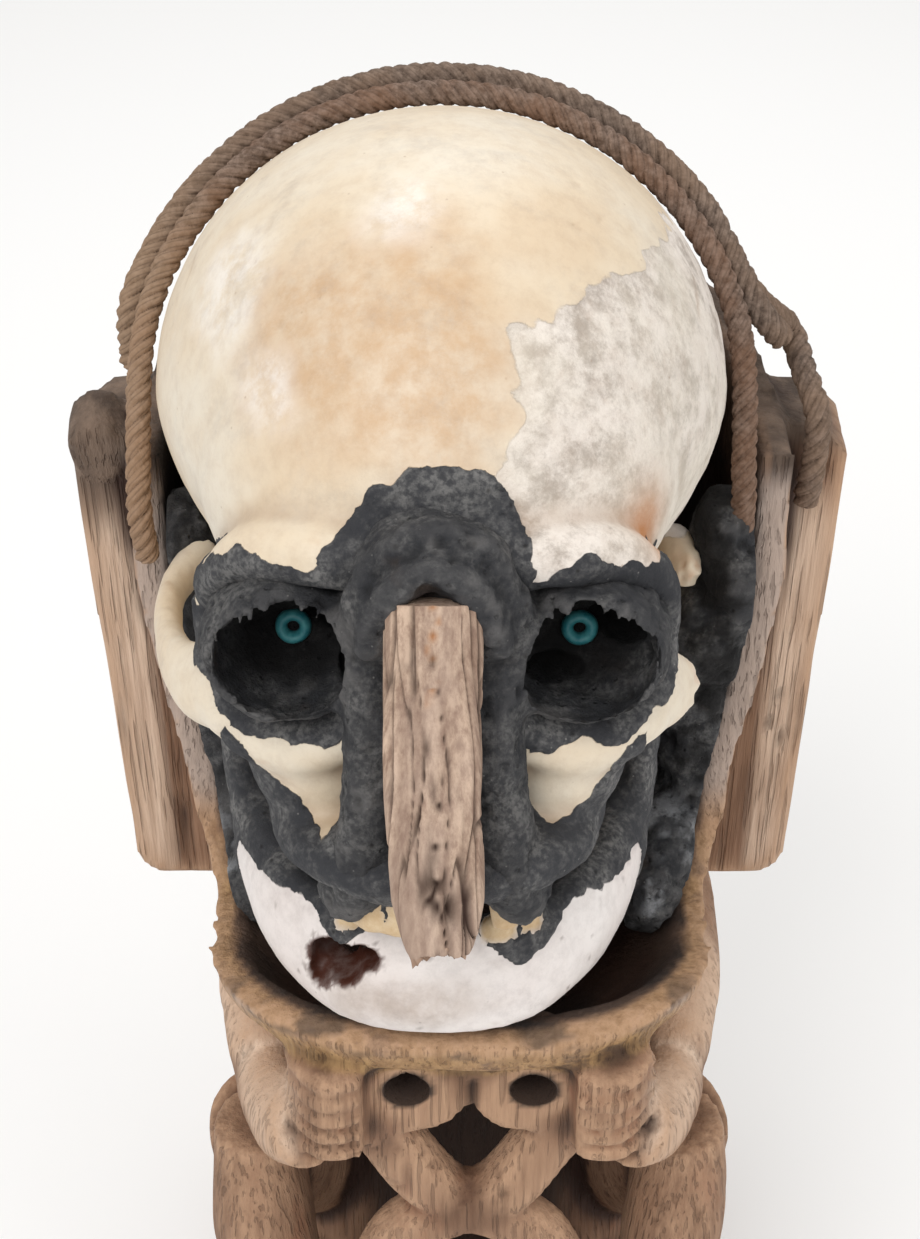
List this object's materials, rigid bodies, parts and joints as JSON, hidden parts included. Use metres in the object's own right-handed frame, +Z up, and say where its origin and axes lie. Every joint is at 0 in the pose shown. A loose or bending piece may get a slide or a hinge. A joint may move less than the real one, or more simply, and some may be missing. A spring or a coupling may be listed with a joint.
{
  "type": "wooden ancestor figure",
  "caption": "Carved wooden squatting ancestor figure with a hollow head that holds a skull with a stick nose, bead eyes, resin fill and cords over the crown.",
  "frame": {"origin": "centre of the whole part's box in plan, on the ground under the base", "axes": "+Z up, the figure faces -Y, its left hand is on +X"},
  "size_m": [0.1999, 0.2385, 0.4285],
  "materials": {
    "old_wood": "dry carved wood with worn golden edges and dark recesses",
    "bone": "warm cream bone, satin on the brow, abraded grey on one side",
    "jaw_bone": "chalky pale bone",
    "black_resin": "matte gritty black resin",
    "weathered_wood": "split weathered wood with cracks and worm tracks",
    "blue_glass": "opaque blue-green glass",
    "fibre_cord": "old twisted plant fibre"
  },
  "bodies": {
    "root": {"carved_figure": "old_wood", "cranium": "bone", "mandible": "jaw_bone", "face_resin": "black_resin", "side_resin_left": "black_resin", "side_resin_right": "black_resin", "nose_peg": "weathered_wood", "eye_bead_left": "blue_glass", "eye_bead_right": "blue_glass", "crown_cord_inner": "fibre_cord", "crown_cord_middle": "fibre_cord", "crown_cord_outer": "fibre_cord"}
  },
  "joints": []
}
